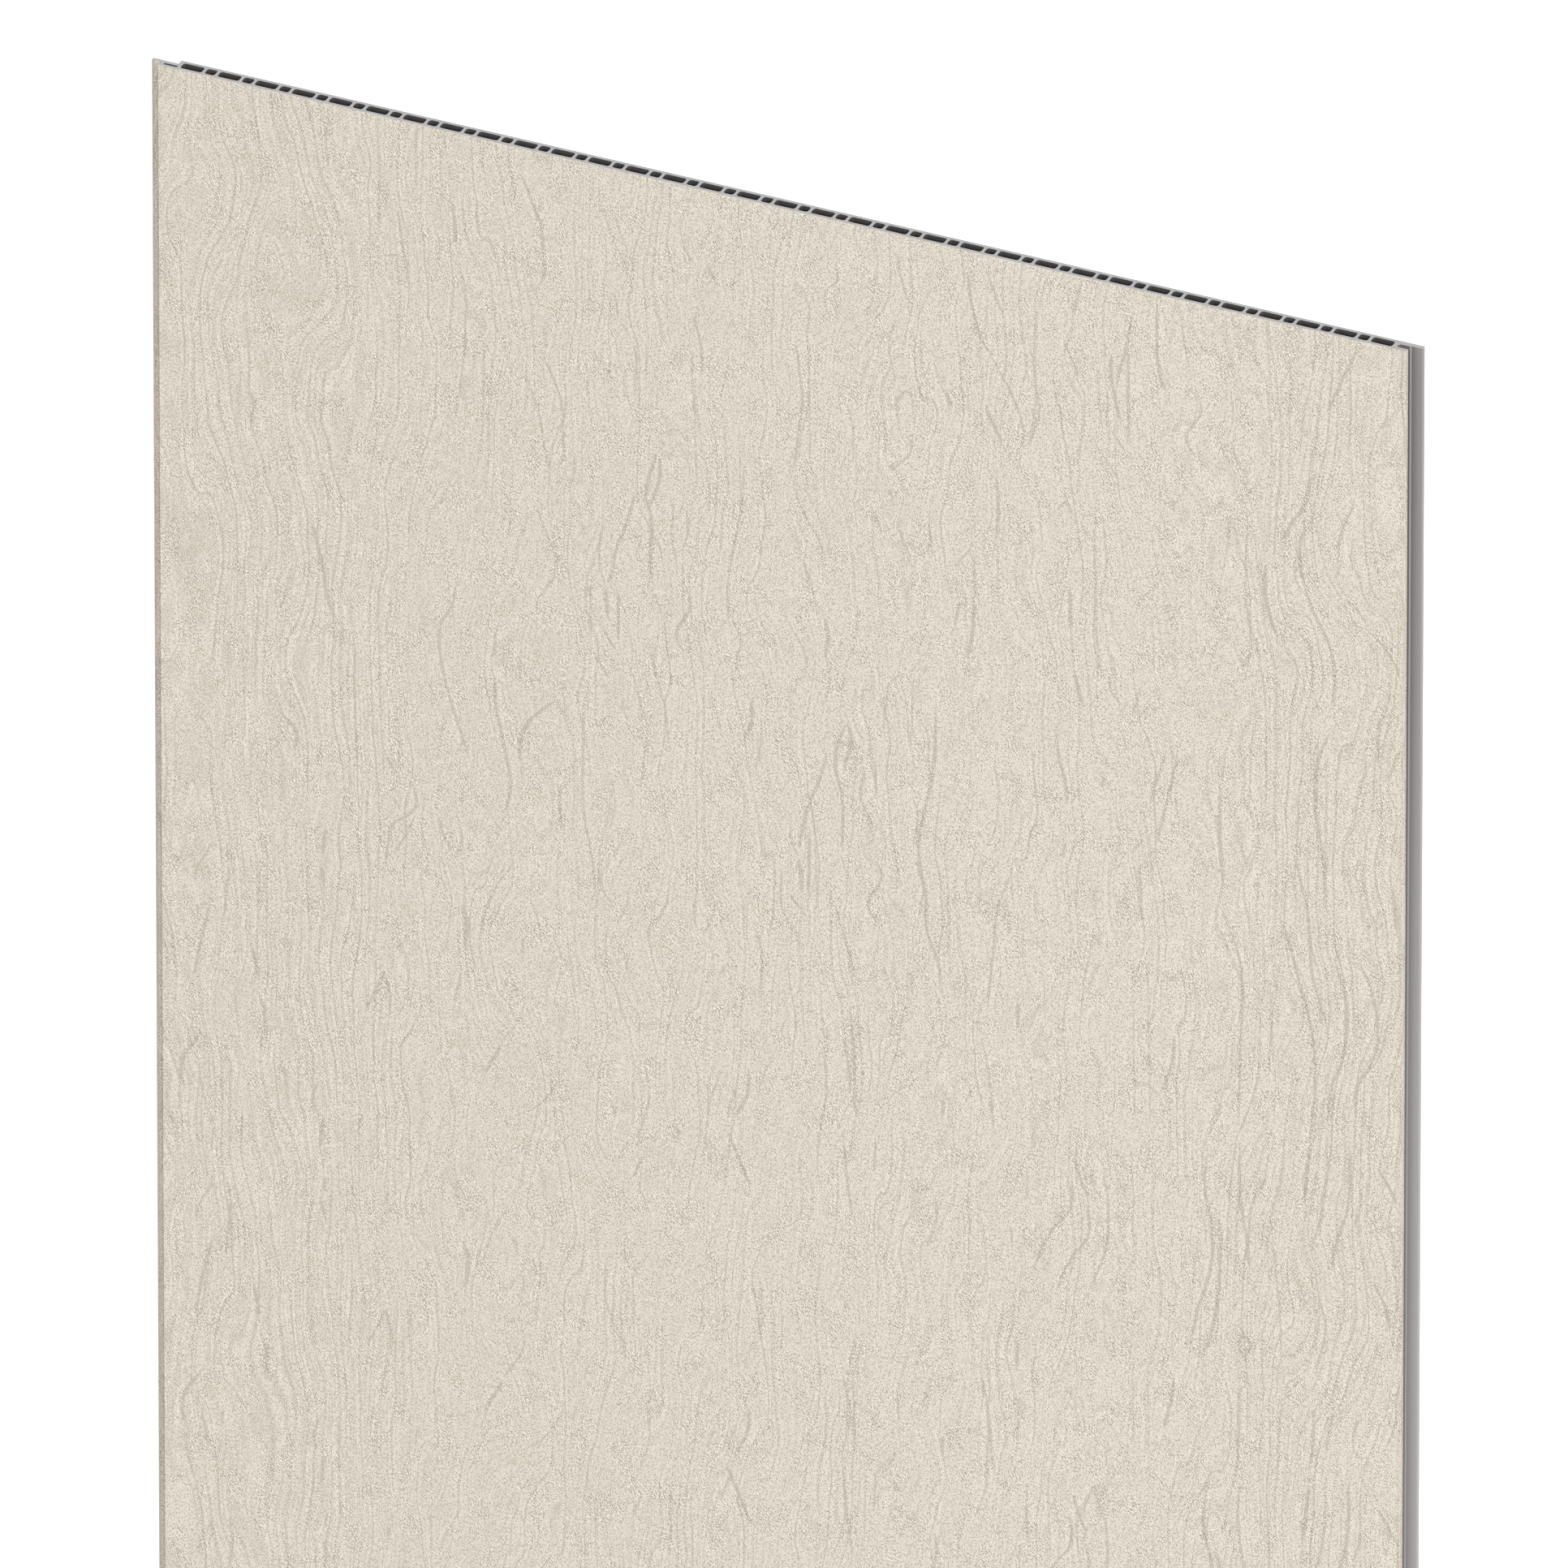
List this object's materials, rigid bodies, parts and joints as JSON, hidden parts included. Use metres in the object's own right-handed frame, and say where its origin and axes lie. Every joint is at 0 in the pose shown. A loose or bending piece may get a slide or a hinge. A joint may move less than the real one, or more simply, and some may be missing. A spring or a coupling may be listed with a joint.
{
  "type": "wall panel",
  "caption": "Hollow extruded wall panel board with a wood grain film on its face, a tongue along one long edge and a groove with a nailing flange along the other.",
  "frame": {"origin": "on the floor under the middle of the panel's width and length, as it lies on its back", "axes": "+X across the width, from the tongue edge to the groove and flange edge; +Y along the length, towards the end that the picture shows; +Z out of the decorated face"},
  "size_m": [0.6098, 3, 0.008],
  "materials": {
    "board": "matt grey extruded compound, sawn at the ends",
    "film": "embossed matt film printed with a pale greige wood grain"
  },
  "bodies": {
    "root": {"hollow_board": "board", "decor_film": "film"}
  },
  "joints": []
}
